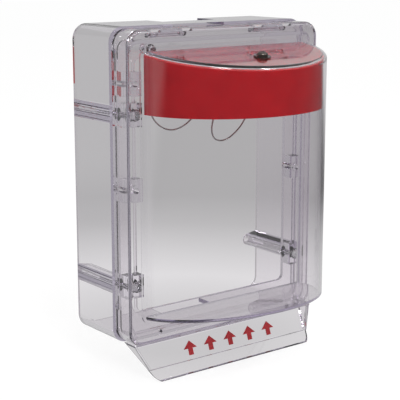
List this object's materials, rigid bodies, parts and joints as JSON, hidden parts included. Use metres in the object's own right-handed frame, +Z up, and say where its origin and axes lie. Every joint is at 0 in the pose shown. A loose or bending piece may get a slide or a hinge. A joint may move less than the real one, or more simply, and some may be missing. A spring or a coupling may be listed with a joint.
{
  "type": "call point protective cover",
  "caption": "Clear lift-up protective cover for a wall call point: deep back box, screwed frame, hinged bow-front shield with a red hood inside and a steel cable tether.",
  "frame": {"origin": "middle of the four wall holes, in the plane of the wall", "axes": "+X right, +Y into the wall, +Z up; the cover stands out towards -Y"},
  "size_m": [0.19, 0.1415, 0.2676],
  "materials": {
    "clear_box": "clear moulded polycarbonate, glossy",
    "clear_frame": "clear moulded polycarbonate, glossy",
    "clear_shield": "clear moulded polycarbonate, glossy",
    "seal": "translucent grey closed-cell seal",
    "red_hood": "opaque red moulded plastic, glossy",
    "red_mark": "red printed film",
    "screw_steel": "bright zinc-plated steel",
    "pin_steel": "stainless steel",
    "dark_steel": "dark plated steel, satin",
    "tether_metal": "tinned steel",
    "cable_steel": "stranded stainless steel cable"
  },
  "bodies": {
    "housing": {"back_box": "clear_box", "frame_gasket": "seal", "frame": "clear_frame", "hinge_pin_left": "pin_steel", "hinge_pin_right": "pin_steel", "hinge_pin_clips": "pin_steel", "frame_screws": "screw_steel", "frame_screw_washers": "screw_steel", "tether_anchor_screw": "screw_steel", "tether_anchor_washer": "screw_steel", "tether_frame_terminal": "tether_metal", "tether_cable": "cable_steel"},
    "shield": {"shield": "clear_shield", "label_hood": "red_hood", "lift_marks": "red_mark", "tether_screw": "dark_steel", "tether_washer": "dark_steel", "tether_lock_washer": "tether_metal", "tether_nut": "tether_metal", "tether_shield_terminal": "tether_metal"}
  },
  "joints": [
    {"name": "shield_lift", "type": "hinge", "parent": "housing", "child": "shield", "pos_m": [0, -0.0585, 0.12525], "axis": [-1, 0, 0], "range_deg": [0, 90], "deforming": ["tether_cable"]}
  ]
}
